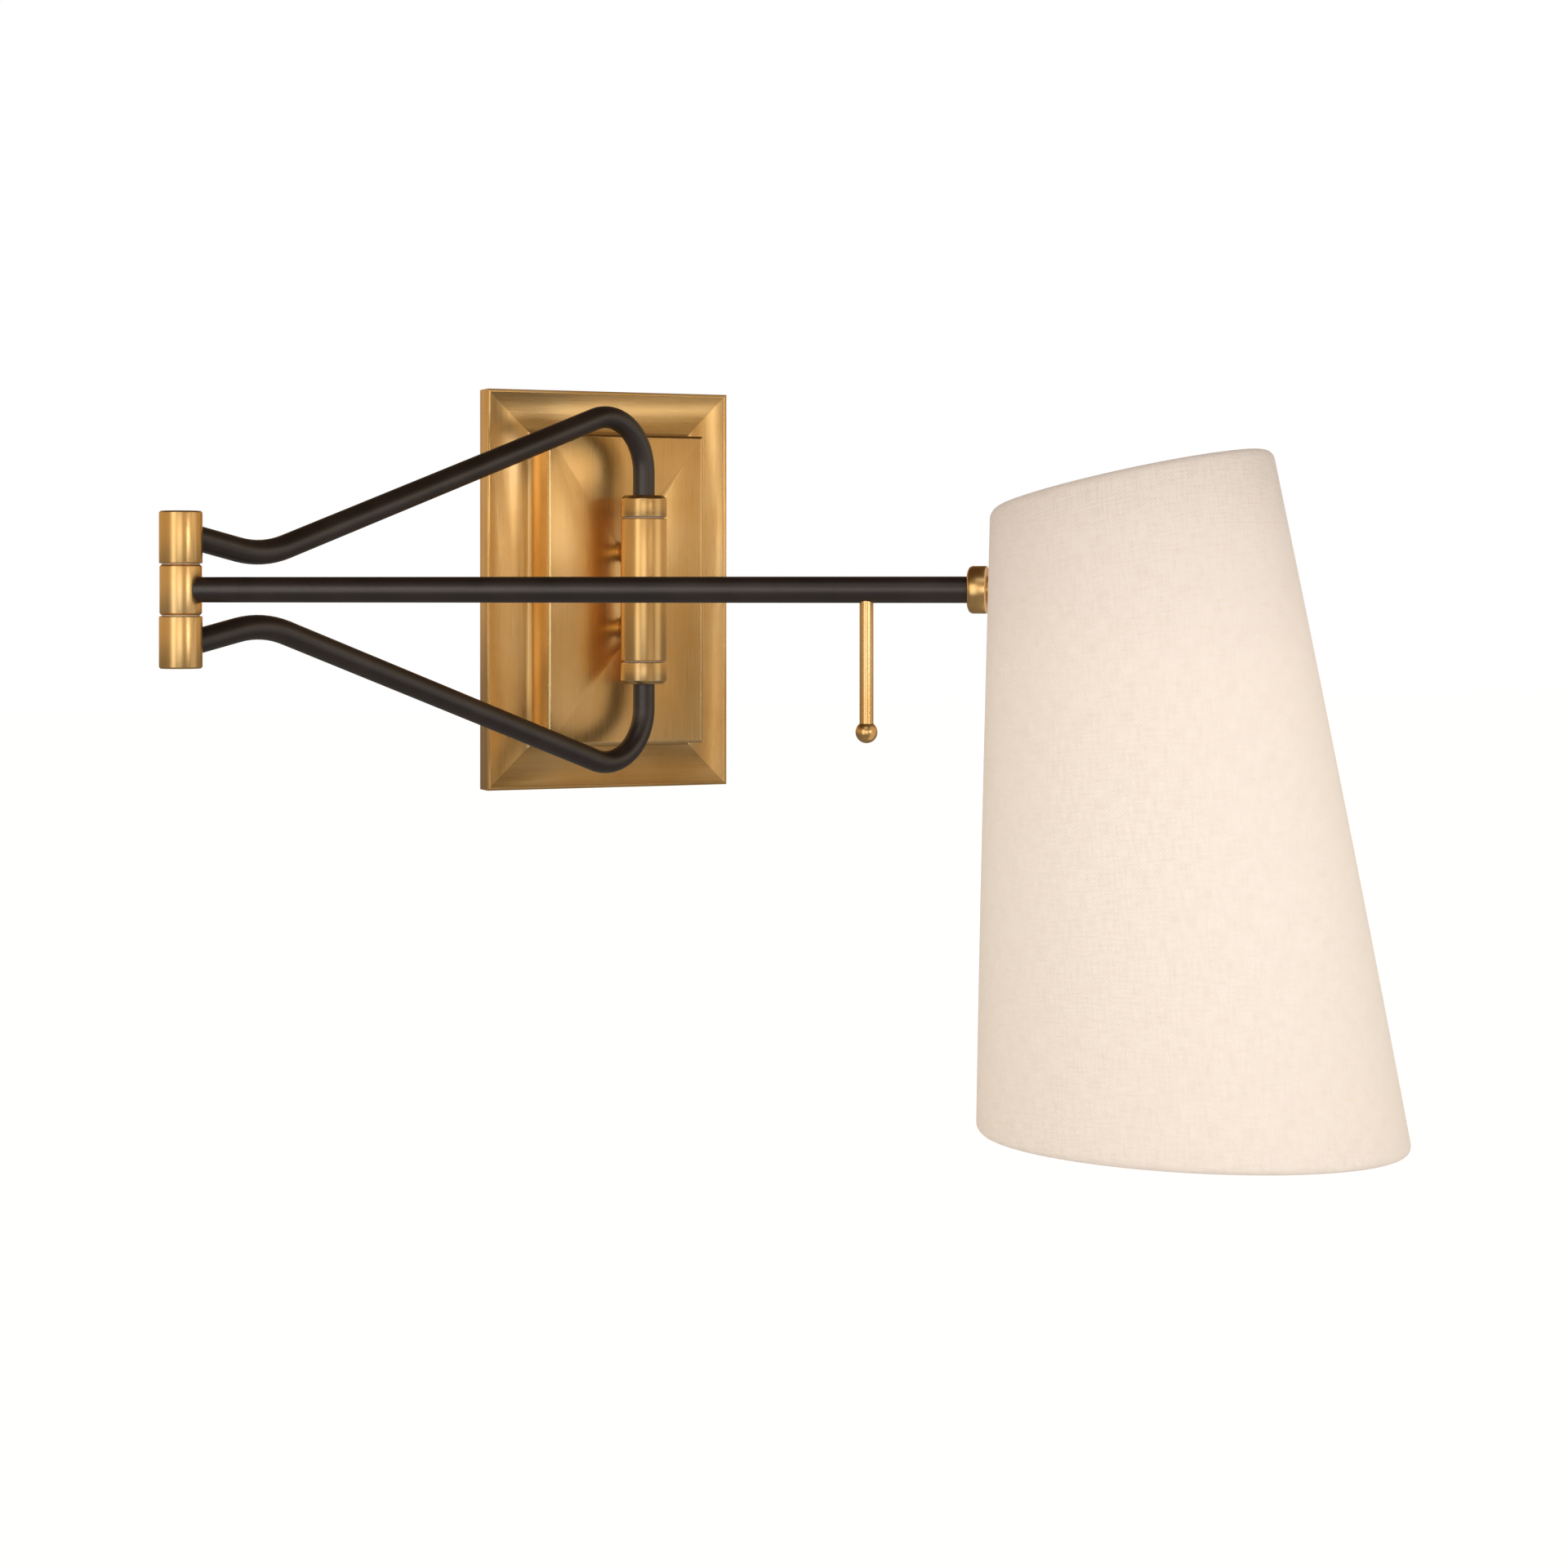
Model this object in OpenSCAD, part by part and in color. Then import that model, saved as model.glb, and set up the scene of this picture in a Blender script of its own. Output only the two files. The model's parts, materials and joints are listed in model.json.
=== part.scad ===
// Swing arm wall sconce: a brass wall plate, a forked swinging arm, a straight arm with a
// guide handle, and a linen shade that swivels about the arm and holds a hanging lamp socket.
// Origin: centre of the wall plate's back face. +X right, +Z up, the room lies towards -Y.

/* [Wall plate] */
// Width of the wall plate
plate_w = 114; // [110:1:120]
// Height of the wall plate
plate_h = 178; // [172:1:190]
// Depth of the wall plate's plain outer edge
rim_depth = 11; // [10:0.5:13]
// Depth from the wall to the face of the raised panel
panel_depth = 34; // [32:1:38]
// Width of the coved border round the raised panel
border_w = 20.5; // [18:0.5:24]
// Thickness of the plate and panel metal
sheet = 2; // [1.5:0.1:2.4]

/* [Wall pivot] */
// Distance from the wall to the pivot barrel's axis
barrel_y = 56; // [54:1:60]
// Radius of the pivot barrel and its collars
barrel_r = 10; // [9.5:0.1:11]
// Half the height of the pivot barrel
barrel_half = 31; // [30:0.5:33]
// Height of the barrel's axis end above or below the lamp's middle, collar included
collar_top = 41; // [40:0.5:44]
// Height of each wall post above or below the lamp's middle
post_z = 16.5; // [15:0.5:17]

/* [Arms] */
// Outer radius of every arm tube
tube_r = 4.75; // [4.5:0.05:5]
// Wall thickness of the arm tubes
tube_wall = 1; // [0.8:0.1:1.1]
// Distance between the wall pivot and the elbow pivot
wishbone_len = 250; // [240:1:270]
// Angle of the forked arm in front of the wall as drawn
wishbone_angle = 26; // [10:1:60]
// Angle between the two arms as drawn
elbow_angle = 59; // [45:1:120]
// Bend radius of each fork tube over the pivot barrel
bend_r = 23; // [22:0.5:25]
// Height at which each fork tube starts to bend
bend_z = 51.2; // [50:0.2:54]
// Slope of each fork tube down to the elbow
slope = 18.4; // [18:0.1:18.8]
// Radius of the shallow bend near the elbow
dip_r = 45; // [40:1:50]
// Distance from the wall pivot to the shallow bend
dip_u = 214; // [212:1:216]
// Slope of each fork tube where it meets the elbow
rise = 12; // [11:0.5:13]
// Radius of the elbow knuckle
knuckle_r = 8; // [7.8:0.1:8.5]
// Half the height of the elbow knuckle
knuckle_half = 29.4; // [29:0.2:31]
// Distance from the elbow pivot to the ferrule
ferrule_s = 295; // [290:1:300]
// Distance from the elbow pivot to the guide handle
handle_s = 258.4; // [230:0.2:270]
// Length of the guide handle below the arm's axis, up to its ball
handle_len = 51; // [40:1:60]
// Radius of the guide handle
handle_r = 2.5; // [2:0.1:3]
// Radius of the handle's ball
ball_r = 3.95; // [3.5:0.05:5]

/* [Shade] */
// Outer radius of the shade at its top
top_r = 50.75; // [50:0.25:52]
// Outer radius of the shade at its bottom
bottom_r = 75.3; // [74:0.1:77]
// Distance from the elbow pivot to the middle of the top opening
top_s = 352.6; // [352:0.1:354]
// Distance from the elbow pivot to the middle of the bottom opening
bottom_s = 374.3; // [373:0.1:376]
// Height of the top opening above the arm
top_z = 37.8; // [36:0.2:40]
// Depth of the bottom opening below the arm
bottom_z = 191.4; // [185:0.2:195]
// Slope of the top opening, rising away from the elbow
top_tilt = 12; // [8:0.5:14]
// Slope of the bottom opening, falling away from the elbow
bottom_tilt = 1.6; // [0:0.2:3]
// Turn of the shade about the arm as drawn
head_turn = -2.1; // [-10:0.1:10]

/* [Hidden] */
$fn = 64;

brass = "#b98a45";
bronze = "#2c2327";
steel = "#b9bcc0";
linen = "#e9dcc8";
plastic = "#efece4";
copper = "#c07a4a";

eps = 0.01;
running = 0.06;          // radial clearance of a running fit
gap = 0.3;               // clearance between bodies that don't bear on each other

// wall plate
bead_w = 1.4;            // flat edge round the plate's face
dish = 0.5;              // step down from that edge to the border
cove_w = 9;              // width of the sweep where the border rises to the panel
cove_r = 24;
cove_start = border_w - cove_w;
cove_top = rim_depth - dish + cove_r - sqrt(cove_r * cove_r - cove_w * cove_w);
panel_w = plate_w - 2 * border_w;
panel_h = plate_h - 2 * border_w;
panel_bevel = 1;
flange_w = 5;            // hidden flange that holds the panel behind the border

// mounting strap
strap_w = 25;
strap_half = plate_h / 2 - sheet - gap;
box_screw_z = 44.45;     // half of the usual 3.5 inch spacing of the box screws
box_screw_r = 2.3;
screw_depth = 5.5;       // distance of the set screws from the wall

// wall pivot
post_r = 4;
post_tail_r = 3;
post_bore_r = 1.7;
barrel_bore_r = 6.5;
pin_r = 3.7;
pin_bore_r = 2;
pin_foot = 18.6;
clip_z = 19.6;
clip_r = 5.4;
groove_r = 3.2;
bush_foot = 21;
flange_t = 0.5;
collar_foot = barrel_half + flange_t + 0.05;
tube_seat = 34;          // height at which the fork tubes sit in their collars
pin_top = 46;

// elbow
segment = knuckle_half / 3;
chamber_r = 6.2;
elbow_pin_r = 3;
knuckle_lid = 3;
elbow_flange_t = 0.4;
elbow_bush_len = 5;
middle_half = segment - elbow_flange_t;

tenon_r = 2;             // end of the guide handle, inside the arm's wall

// cables
cable_r = 1.2;
cable_turn = 3.5;
tube_bore = tube_r - tube_wall;

// ferrule and swivel
ferrule_r = 8.5;
ferrule_end = ferrule_s + 6.95;
tube_end = ferrule_s + 2;
stem_flange_r = 5.6;
stem_r = 4.5;
stem_foot = ferrule_s - 13;
stem_head = 351;

// shade and lamp
cloth_t = 1;
liner_t = 0.8;
glue_t = 0.2;            // layer between the linen and its lining
ring_wire_r = 1.5;
ring_inset = cloth_t + glue_t + liner_t + ring_wire_r + 0.1;
ring_t = 0.0103;         // level of each wire ring inside its opening, as a share of the height
hem_t = 2.4;
axis_s = top_s + (bottom_s - top_s) * top_z / (top_z + bottom_z);
axis_tilt = atan2(bottom_s - top_s, top_z + bottom_z);
block_r = 7;
block_half = 9;
washer_t = 1.2;
cap_top = -block_half - washer_t;
shell_top = cap_top - 14;
shell_foot = shell_top - 36;
socket_r = 17;
bulb_top = cap_top - 26;
glass_top = bulb_top - 24;
bulb_r = 30;
bulb_z = glass_top - 54;

// ---- places ----

module in_wishbone() {
  translate([0, -barrel_y, 0])
    rotate([0, 0, 180 + wishbone_angle])
      children();
}

module in_arm() {
  in_wishbone()
    translate([wishbone_len, 0, 0])
      rotate([0, 0, 180 - elbow_angle])
        children();
}

module in_head() {
  in_arm()
    rotate([head_turn, 0, 0])
      children();
}

module on_lamp_axis() {
  in_head()
    translate([axis_s, 0, 0])
      rotate([0, -axis_tilt, 0])
        children();
}

module both_ends() {
  children();
  mirror([0, 0, 1]) children();
}

// ---- shared shapes ----

// a straight ring or rod along +Z
module pipe(z0, z1, outer, inner = 0) {
  difference() {
    translate([0, 0, z0]) cylinder(r = outer, h = z1 - z0);
    if (inner > 0)
      translate([0, 0, z0 - 1]) cylinder(r = inner, h = z1 - z0 + 2);
  }
}

// the same along +X
module pipe_x(x0, x1, outer, inner = 0) {
  rotate([0, 90, 0]) pipe(x0, x1, outer, inner);
}

// the same along -Y, from depth d0 to depth d1
module pipe_y(d0, d1, outer, inner = 0) {
  rotate([90, 0, 0]) pipe(d0, d1, outer, inner);
}

// a rod between two points
module strut(a, b, r) {
  d = b - a;
  translate(a)
    rotate([0, atan2(norm([d.x, d.y]), d.z), atan2(d.y, d.x)])
      cylinder(r = r, h = norm(d));
}

// a bend that starts upwards and turns towards +X; its children carry on from its end,
// and a thin band covers the line where it meets its neighbours
module bend(radius, sweep, r, band = 0.3) {
  proud = 0.02;
  if (band > 0) pipe(-band, band, r + proud);
  translate([radius, 0, 0]) {
    mirror([1, 0, 0])
      rotate([90, 0, 0])
        rotate_extrude(angle = sweep)
          translate([radius, 0]) circle(r = r);
    rotate([0, sweep, 0])
      translate([-radius, 0, 0]) {
        if (band > 0) pipe(-band, band, r + proud);
        children();
      }
  }
}

module hex_nut(depth0, depth1, across, hole) {
  rotate([90, 0, 0])
    translate([0, 0, depth0])
      difference() {
        cylinder(d = across / cos(30), h = depth1 - depth0, $fn = 6);
        translate([0, 0, -1]) cylinder(r = hole, h = depth1 - depth0 + 2);
      }
}

// ---- wall mount ----

module mounting_strap() color(steel) difference() {
  union() {
    translate([-strap_w / 2, -sheet, -strap_half]) cube([strap_w, sheet, 2 * strap_half]);
    both_ends()
      translate([-strap_w / 2, -rim_depth + sheet + 1, strap_half - sheet])
        cube([strap_w, rim_depth - sheet - 1, sheet]);
  }
  both_ends() translate([0, 0, box_screw_z]) pipe_y(-1, sheet + 1, box_screw_r);
  pipe_y(-1, sheet + 1, 8);
  translate([0, 0, -28]) pipe_y(-1, sheet + 1, 2);
  translate([0, -screw_depth, 0]) pipe(-plate_h, plate_h, 2);
}

module ground_screw() color("#3f8f4a") {
  difference() {
    union() {
      translate([0, 0, -28]) hex_nut(sheet, sheet + 3, 7, 0.4);
      translate([0, 0, -28]) pipe_y(0.2, sheet + 2, 2);
    }
    translate([-3, -sheet - 3 - eps, -28.5]) cube([6, 1, 1]);
  }
}

// half of the border's outline across the plate: distance from the middle, then depth
module plate_outline(half) {
  level = rim_depth - dish;
  difference() {
    translate([-half, 0]) square([2 * half, cove_top]);
    for (side = [-1, 1])
      scale([side, 1]) {
        translate([half - cove_start, level])
          square([cove_start + 1, cove_top]);
        translate([half - cove_start, level + cove_r])
          circle(r = cove_r, $fn = 96);
      }
  }
}

module wall_plate() color(brass) difference() {
  union() {
    intersection() {
      mirror([0, 1, 0])
        linear_extrude(height = plate_h, center = true) plate_outline(plate_w / 2);
      rotate([0, 90, 0])
        mirror([0, 1, 0])
          linear_extrude(height = plate_w, center = true) plate_outline(plate_h / 2);
    }
    difference() {
      translate([-plate_w / 2, -rim_depth, -plate_h / 2]) cube([plate_w, 2, plate_h]);
      translate([-plate_w / 2 + bead_w, -rim_depth - 1, -plate_h / 2 + bead_w])
        cube([plate_w - 2 * bead_w, 4, plate_h - 2 * bead_w]);
    }
  }
  translate([-plate_w / 2 + sheet, -rim_depth + dish + sheet, -plate_h / 2 + sheet])
    cube([plate_w - 2 * sheet, rim_depth, plate_h - 2 * sheet]);
  translate([-panel_w / 2 - 0.1, -panel_depth, -panel_h / 2 - 0.1])
    cube([panel_w + 0.2, 2 * panel_depth, panel_h + 0.2]);
  translate([0, -screw_depth, 0]) pipe(-plate_h, plate_h, 2.1);
}

module bevelled_outline(half) {
  polygon([
    [-half, 0], [half, 0], [half, panel_depth - panel_bevel],
    [half - panel_bevel, panel_depth], [panel_bevel - half, panel_depth],
    [-half, panel_depth - panel_bevel]
  ]);
}

module raised_panel() color(brass) {
  flange_front = rim_depth - dish - sheet - 0.05;
  difference() {
    union() {
      intersection() {
        mirror([0, 1, 0])
          linear_extrude(height = panel_h, center = true) bevelled_outline(panel_w / 2);
        rotate([0, 90, 0])
          mirror([0, 1, 0])
            linear_extrude(height = panel_w, center = true) bevelled_outline(panel_h / 2);
        translate([-plate_w, -plate_w - flange_front + sheet, -plate_h])
          cube([2 * plate_w, plate_w, 2 * plate_h]);
      }
      translate([-panel_w / 2 - flange_w, -flange_front, -panel_h / 2 - flange_w])
        cube([panel_w + 2 * flange_w, sheet, panel_h + 2 * flange_w]);
    }
    translate([-panel_w / 2 + sheet, -panel_depth + sheet, -panel_h / 2 + sheet])
      cube([panel_w - 2 * sheet, panel_depth, panel_h - 2 * sheet]);
    both_ends() translate([0, 0, post_z]) pipe_y(0, panel_depth + 1, post_tail_r + 0.15);
  }
}

module set_screws() color(brass) both_ends() translate([0, -screw_depth, 0]) difference() {
  pipe(plate_h / 2 - 8, plate_h / 2 - 0.2, 2);
  translate([-3, -0.4, plate_h / 2 - 1.4]) cube([6, 0.8, 2]);
}

module wall_posts() color(brass) both_ends() difference() {
  translate([0, 0, post_z]) {
    pipe_y(panel_depth, barrel_y - barrel_r / 2, post_r, post_bore_r);
    pipe_y(panel_depth - 9, panel_depth + eps, post_tail_r, post_bore_r);
  }
  translate([0, -barrel_y, 0]) pipe(0, barrel_half, barrel_r);
}

module post_washers() color(steel) both_ends() translate([0, 0, post_z])
  pipe_y(panel_depth - sheet - 1, panel_depth - sheet, 6.5, post_tail_r + 0.1);

module post_nuts() color(brass) both_ends() translate([0, 0, post_z])
  hex_nut(panel_depth - sheet - 5, panel_depth - sheet - 1, 10, post_tail_r);

module pivot_barrel() color(brass) translate([0, -barrel_y, 0]) difference() {
  rotate_extrude() polygon([
    [barrel_bore_r, -barrel_half], [barrel_r - 0.4, -barrel_half], [barrel_r, 0.4 - barrel_half],
    [barrel_r, barrel_half - 0.4], [barrel_r - 0.4, barrel_half], [barrel_bore_r, barrel_half]
  ]);
  both_ends() translate([0, 0, post_z]) rotate([-90, 0, 0]) cylinder(r = post_bore_r, h = 12);
}

module barrel_bushes() color(plastic) translate([0, -barrel_y, 0]) both_ends() {
  pipe(bush_foot, barrel_half, barrel_bore_r, pin_r + running);
  pipe(barrel_half, barrel_half + flange_t, barrel_r - 1.2, pin_r + running);
}

module splice_connector() color("#d9dcde") difference() {
  translate([-9, -17, post_z - 7]) cube([18, 11, 14]);
  for (x = [-5, 0, 5])
    translate([x, 0, post_z + 1]) pipe_y(5, 12, 1.6);
  translate([0, 0, post_z]) pipe_y(12.5, 18, cable_r);
}

module supply_cable() color(plastic)
  translate([0, -barrel_y, 20.3])
    rotate([0, 180, -90]) {
      run = 20.3 - post_z - cable_turn;
      pipe(0, run, cable_r);
      translate([0, 0, run])
        bend(cable_turn, 90, cable_r, band = 0)
          pipe(0, barrel_y - 13 - cable_turn, cable_r);
    }

// ---- forked arm ----

module collar() difference() {
  rotate_extrude() polygon([
    [pin_r, collar_foot], [barrel_r - 0.3, collar_foot], [barrel_r, collar_foot + 0.3],
    [barrel_r, collar_top - 1.5], [barrel_r - 1.5, collar_top], [pin_r, collar_top]
  ]);
  pipe(tube_seat, collar_top + 1, tube_r);
}

module upper_collar() color(brass) in_wishbone() collar();

module lower_collar() color(brass) in_wishbone() mirror([0, 0, 1]) collar();

module pivot_pins() color(steel) in_wishbone() both_ends() difference() {
  pipe(pin_foot, pin_top, pin_r, pin_bore_r);
  pipe(clip_z, clip_z + 1, pin_r + 1, groove_r);
}

module pivot_clips() color(steel) in_wishbone() both_ends()
  pipe(clip_z, clip_z + 1, clip_r, groove_r);

// the fork tube's path in its own plane: distance from the wall pivot, then height
bend_c = [bend_r, bend_z];
normal = [sin(slope), cos(slope)];
dip_c = [dip_u, (bend_c * normal + bend_r + dip_r - dip_u * normal.x) / normal.y];
slope_run = norm(dip_c - dip_r * normal - bend_c - bend_r * normal);
dip_to = dip_c + dip_r * [sin(rise), -cos(rise)];
last_run = (wishbone_len - elbow_pin_r - 2 - dip_to.x) / cos(rise);

module fork_path(foot, extra, r) {
  pipe(foot, bend_z, r);
  translate([0, 0, bend_z])
    bend(bend_r, 90 + slope, r) {
      pipe(0, slope_run, r);
      translate([0, 0, slope_run])
        mirror([1, 0, 0])
          bend(dip_r, slope + rise, r)
            pipe(0, last_run + extra, r);
    }
}

module fork_tube() difference() {
  fork_path(tube_seat, 0, tube_r);
  fork_path(tube_seat - 1, 1, tube_bore);
  translate([wishbone_len, 0, 0]) pipe(0, knuckle_half, chamber_r + 0.2);
}

module upper_tube() color(bronze) in_wishbone() fork_tube();

module lower_tube() color(bronze) in_wishbone() mirror([0, 0, 1]) fork_tube();

module knuckle_end(lid_hole) difference() {
  rotate_extrude() polygon([
    [chamber_r, segment + 0.05], [knuckle_r - 0.3, segment + 0.05], [knuckle_r, segment + 0.35],
    [knuckle_r, knuckle_half - 0.6], [knuckle_r - 0.6, knuckle_half], [lid_hole, knuckle_half],
    [lid_hole, knuckle_half - knuckle_lid], [chamber_r, knuckle_half - knuckle_lid]
  ]);
  translate([dip_to.x - wishbone_len, 0, dip_to.y])
    rotate([0, 90 - rise, 0])
      pipe(0, last_run, tube_r);
}

module upper_knuckle() color(brass) in_wishbone()
  translate([wishbone_len, 0, 0]) knuckle_end(elbow_pin_r);

module lower_knuckle() color(brass) in_wishbone()
  translate([wishbone_len, 0, 0]) mirror([0, 0, 1]) knuckle_end(elbow_pin_r);

module elbow_pin() color(steel) in_wishbone() translate([wishbone_len, 0, 0]) difference() {
  pipe(-knuckle_half, knuckle_half, elbow_pin_r);
  both_ends() translate([-4, -0.4, knuckle_half - 1]) cube([8, 0.8, 2]);
}

module wishbone_cable() color(plastic) in_wishbone()
  fork_path(20.7, -1, cable_r);

// ---- straight arm ----

module middle_knuckle() color(brass) in_arm() difference() {
  rotate_extrude() polygon([
    [chamber_r, -middle_half], [knuckle_r - 0.9, -middle_half], [knuckle_r - 0.2, 0.7 - middle_half],
    [knuckle_r - 0.2, middle_half - 0.7], [knuckle_r - 0.9, middle_half], [chamber_r, middle_half]
  ]);
  pipe_x(0, knuckle_r + 1, tube_r);
}

module elbow_bushes() color(plastic) in_arm() both_ends() {
  pipe(middle_half - elbow_bush_len, middle_half, chamber_r, elbow_pin_r + running);
  pipe(middle_half, segment, knuckle_r - 1, elbow_pin_r + running);
}

module arm_tube() color(bronze) in_arm() difference() {
  pipe_x(2, tube_end, tube_r, tube_bore);
  pipe(-tube_r, tube_r, chamber_r + 0.2);
  translate([handle_s, 0, 0]) pipe(-tube_r - 1, 0, tenon_r);
}

module arm_cable() color(plastic) in_arm() pipe_x(4.2, stem_foot - 0.4, cable_r);

module handle_rod() color(brass) in_arm() translate([handle_s, 0, 0]) {
  difference() {
    pipe(-handle_len + 2.4, -tube_bore, handle_r);
    pipe_x(-5, 5, tube_r);
  }
  pipe(-tube_r - 0.1, -tube_bore - 0.1, tenon_r);
}

module handle_ball() color(brass) in_arm() translate([handle_s, 0, 0]) difference() {
  translate([0, 0, -handle_len]) sphere(r = ball_r);
  pipe(-handle_len + 2.4, 0, handle_r);
}

module ferrule() color(brass) in_arm() rotate([0, 90, 0]) difference() {
  rotate_extrude() polygon([
    [0, ferrule_s], [ferrule_r - 1.6, ferrule_s], [ferrule_r - 0.5, ferrule_s + 0.5],
    [ferrule_r, ferrule_s + 1.6], [ferrule_r, ferrule_end - 0.3], [ferrule_r - 0.3, ferrule_end],
    [0, ferrule_end]
  ]);
  pipe(ferrule_s - 1, tube_end, tube_r);
  pipe(tube_end - eps, tube_end + 2.3, 6);
  pipe(tube_end, ferrule_end + 1, stem_r + running);
}

// ---- shade and lamp ----

module swivel_stem() color(brass) in_head() {
  pipe_x(stem_foot, tube_end + gap, tube_bore - running, pin_bore_r);
  pipe_x(tube_end + gap, tube_end + gap + 1.5, stem_flange_r, pin_bore_r);
  pipe_x(tube_end + gap + 1.5, stem_head, stem_r, pin_bore_r);
}

module shade_eyelet() color(brass) in_head() {
  pipe_x(ferrule_end + 0.45, ferrule_end + 3.2, stem_r + 0.5, stem_r);
  pipe_x(ferrule_end + 3.2, ferrule_end + 4.2, 9, stem_r);
}

module hanger_block() color(brass) difference() {
  on_lamp_axis() rotate_extrude() polygon([
    [0, -block_half], [block_r - 0.6, -block_half], [block_r, 0.6 - block_half],
    [block_r, block_half - 0.6], [block_r - 0.6, block_half], [0, block_half]
  ]);
  in_head() pipe_x(stem_head - 20, stem_head, stem_r);
  in_head() pipe_x(stem_head - 1, axis_s, pin_bore_r);
  on_lamp_axis() pipe(-block_half - 1, 1, 3);
  on_lamp_axis() pipe(block_half - 5, block_half + 1, 1.5);
}

module hanger_nut() color(brass) on_lamp_axis() {
  pipe(block_half - 4.5, block_half, 1.5);
  translate([0, 0, block_half]) intersection() {
    sphere(r = 5);
    cylinder(r = 5, h = 5);
  }
}

// a point on the shade's upper wire ring
function ring_point(radius, turn) = let (tilt = tilt_at(ring_t)) [
  out_at(ring_t) + radius * cos(turn) * cos(tilt),
  radius * sin(turn),
  up_at(ring_t) + radius * cos(turn) * sin(tilt)
];

module fitter_spider() color(brass) difference() {
  union() {
    on_lamp_axis() pipe(cap_top, -block_half, 15);
    in_head()
      for (turn = [0, 120, 240])
        strut(
          [axis_s + 0.9 + 13.4 * cos(turn), 13.4 * sin(turn), cap_top + 0.6 + 1.3 * cos(turn)],
          ring_point(radius_at(ring_t) - ring_inset - ring_wire_r + 0.3, turn), 1.4);
  }
  on_lamp_axis() pipe(cap_top - 8, cap_top, 40);
  on_lamp_axis() pipe(cap_top - 1, 0, 5);
  in_head() wire_ring(ring_t, ring_wire_r + 0.02);
}

module lamp_cable() color(plastic) in_head()
  translate([stem_foot, 0, 0])
    rotate([0, 90, 0]) {
      run = axis_s - stem_foot - cable_turn;
      pipe(0, run, cable_r);
      translate([0, 0, run])
        bend(cable_turn, 90, cable_r, band = 0)
          pipe(0, 12, cable_r);
    }

module socket_cap() color(brass) on_lamp_axis() rotate_extrude() polygon([
  [3, cap_top], [7, cap_top], [7, cap_top - 3], [12, cap_top - 4.5], [15.4, cap_top - 7.5],
  [socket_r + 0.8, shell_top], [socket_r - 0.4, shell_top], [14.2, cap_top - 8.4],
  [11.4, cap_top - 5.9], [3, cap_top - 4.4]
]);

module socket_shell() color(brass) on_lamp_axis() {
  pipe(shell_foot, shell_top, socket_r, socket_r - 1);
  pipe(shell_top - 8, shell_top - 6.5, socket_r + 0.6, socket_r);
}

module socket_liner() color("#3a3230") on_lamp_axis()
  pipe(shell_foot + 1, shell_top, socket_r - 1.05, socket_r - 2.2);

module socket_base() color("#f2efe9") on_lamp_axis() difference() {
  pipe(bulb_top + 2.5, shell_top - 0.5, socket_r - 2.3);
  pipe(bulb_top, shell_top, 1);
}

module screw_shell() color(copper) on_lamp_axis()
  pipe(shell_foot + 3, bulb_top + 2.4, 14.4, 13.6);

module centre_contact() color(copper) on_lamp_axis() {
  pipe(bulb_top + 0.3, bulb_top + 2.5, 3);
  pipe(bulb_top + 2.5, shell_top - 1, 0.9);
}

module bulb_base() color(steel) on_lamp_axis() {
  turns = 6;
  pitch = 2.8;           // distance between the screw base's turns
  rotate_extrude() polygon([
    [0, bulb_top], [4.5, bulb_top], [8, bulb_top - 3.5], [12.2, bulb_top - 5],
    for (i = [0 : turns - 1], step = [[12.2, 0], [12.9, 0.8], [12.9, 1.4], [12.2, 2.2]])
      [step.x, bulb_top - 5.6 - i * pitch - step.y],
    [12.2, glass_top], [0, glass_top]
  ]);
}

// half of the bulb's outline, from its crown up the globe and the neck
function bulb_outline(r, trim) = [
  [0, bulb_z - r],
  for (turn = [-84 : 6 : 24]) [r * cos(turn), bulb_z + r * sin(turn)],
  [13.9 - trim, glass_top - 7], [12.9 - trim, glass_top]
];

module bulb_glass() color("#fff4dc") on_lamp_axis() rotate_extrude() polygon(concat(
  bulb_outline(bulb_r, 0),
  [for (i = [len(bulb_outline(bulb_r, 0)) - 1 : -1 : 0]) bulb_outline(bulb_r - 1.2, 1.2)[i]]
));

// the shade's levels: 0 at the top opening, 1 at the bottom opening
function out_at(t) = top_s + (bottom_s - top_s) * t;
function up_at(t) = top_z - (top_z + bottom_z) * t;
function tilt_at(t) = top_tilt - (top_tilt + bottom_tilt) * t;
function radius_at(t) = top_r + (bottom_r - top_r) * t;

module across_shade(t)
  translate([out_at(t), 0, up_at(t)])
    rotate([0, -tilt_at(t), 0])
      children();

module shade_disc(t, inset, thick)
  across_shade(t) cylinder(r = radius_at(t) - inset, h = thick, center = true, $fn = 96);

module shade_shell(outer, inner, thick) difference() {
  hull() {
    shade_disc(0, outer, thick);
    shade_disc(1, outer, thick);
  }
  hull() {
    shade_disc(-0.04, inner, thick);
    shade_disc(1.04, inner, thick);
  }
  pipe_x(0, axis_s, stem_r + 0.55);
}

module shade_linen() color(linen) in_head() shade_shell(0, cloth_t, hem_t);

module shade_liner() color("white") in_head()
  shade_shell(cloth_t + glue_t, cloth_t + glue_t + liner_t, hem_t - 0.4);

module wire_ring(t, wire = ring_wire_r)
  across_shade(t)
    rotate_extrude() translate([radius_at(t) - ring_inset, 0]) circle(r = wire);

module top_ring() color(steel) in_head() wire_ring(ring_t);

module bottom_ring() color(steel) in_head() wire_ring(1 - ring_t);

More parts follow.
